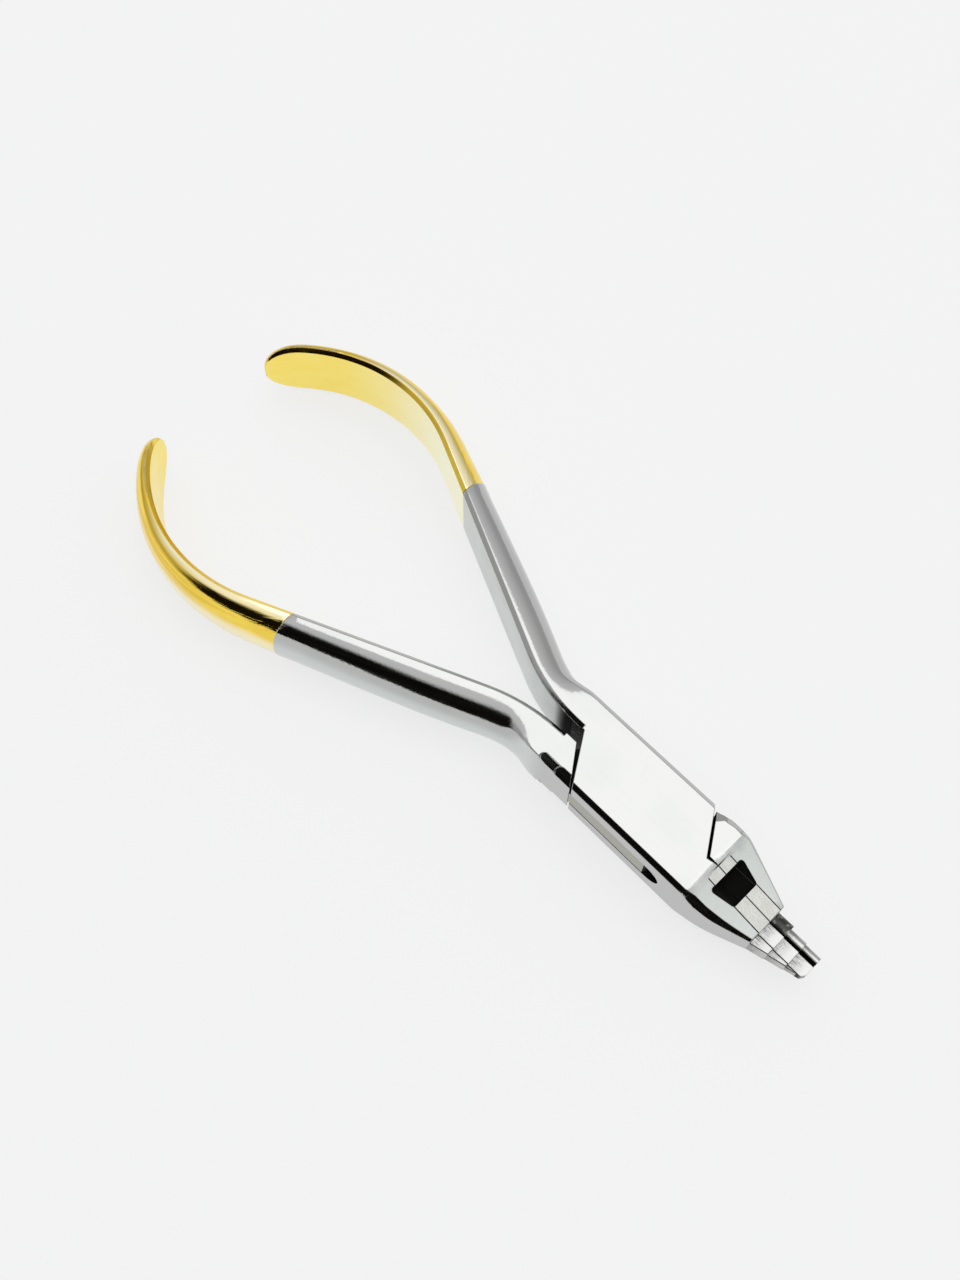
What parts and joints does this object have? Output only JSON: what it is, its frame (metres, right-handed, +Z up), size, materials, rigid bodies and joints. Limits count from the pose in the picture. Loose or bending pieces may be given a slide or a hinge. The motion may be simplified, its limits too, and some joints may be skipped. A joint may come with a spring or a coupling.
{
  "type": "box joint beak pliers",
  "caption": "Box-joint hand pliers with carbide-faced stepped beaks, a cutter window in the jaws and bowed, gold-plated handle ends.",
  "frame": {"origin": "on the flat underside of the box joint, on the pivot's axis", "axes": "+X along the closed jaws to the beak tips, +Y towards the box lever's handle, +Z up along the pivot's axis, with the tool lying flat"},
  "size_m": [0.1298, 0.0524, 0.0118],
  "materials": {
    "lever_steel": "satin to bright polished stainless steel",
    "rivet_steel": "ground flush and polished with the joint",
    "gold_plating": "polished gold plating, satin on the inner faces",
    "carbide": "finely ground tungsten carbide",
    "braze": "thin tarnished brazing seam"
  },
  "bodies": {
    "box_half": {"box_lever": "lever_steel", "pivot_rivet": "rivet_steel", "box_lever_gold_handle": "gold_plating", "hollow_beak_insert": "carbide", "hollow_insert_braze": "braze"},
    "tongue_half": {"tongue_lever": "lever_steel", "tongue_lever_gold_handle": "gold_plating", "round_beak_insert": "carbide", "round_insert_braze": "braze"}
  },
  "joints": [
    {"name": "pivot", "type": "hinge", "parent": "box_half", "child": "tongue_half", "pos_m": [0, 0, 0.0049], "axis": [0, 0, 1], "range_deg": [0, 25]}
  ]
}
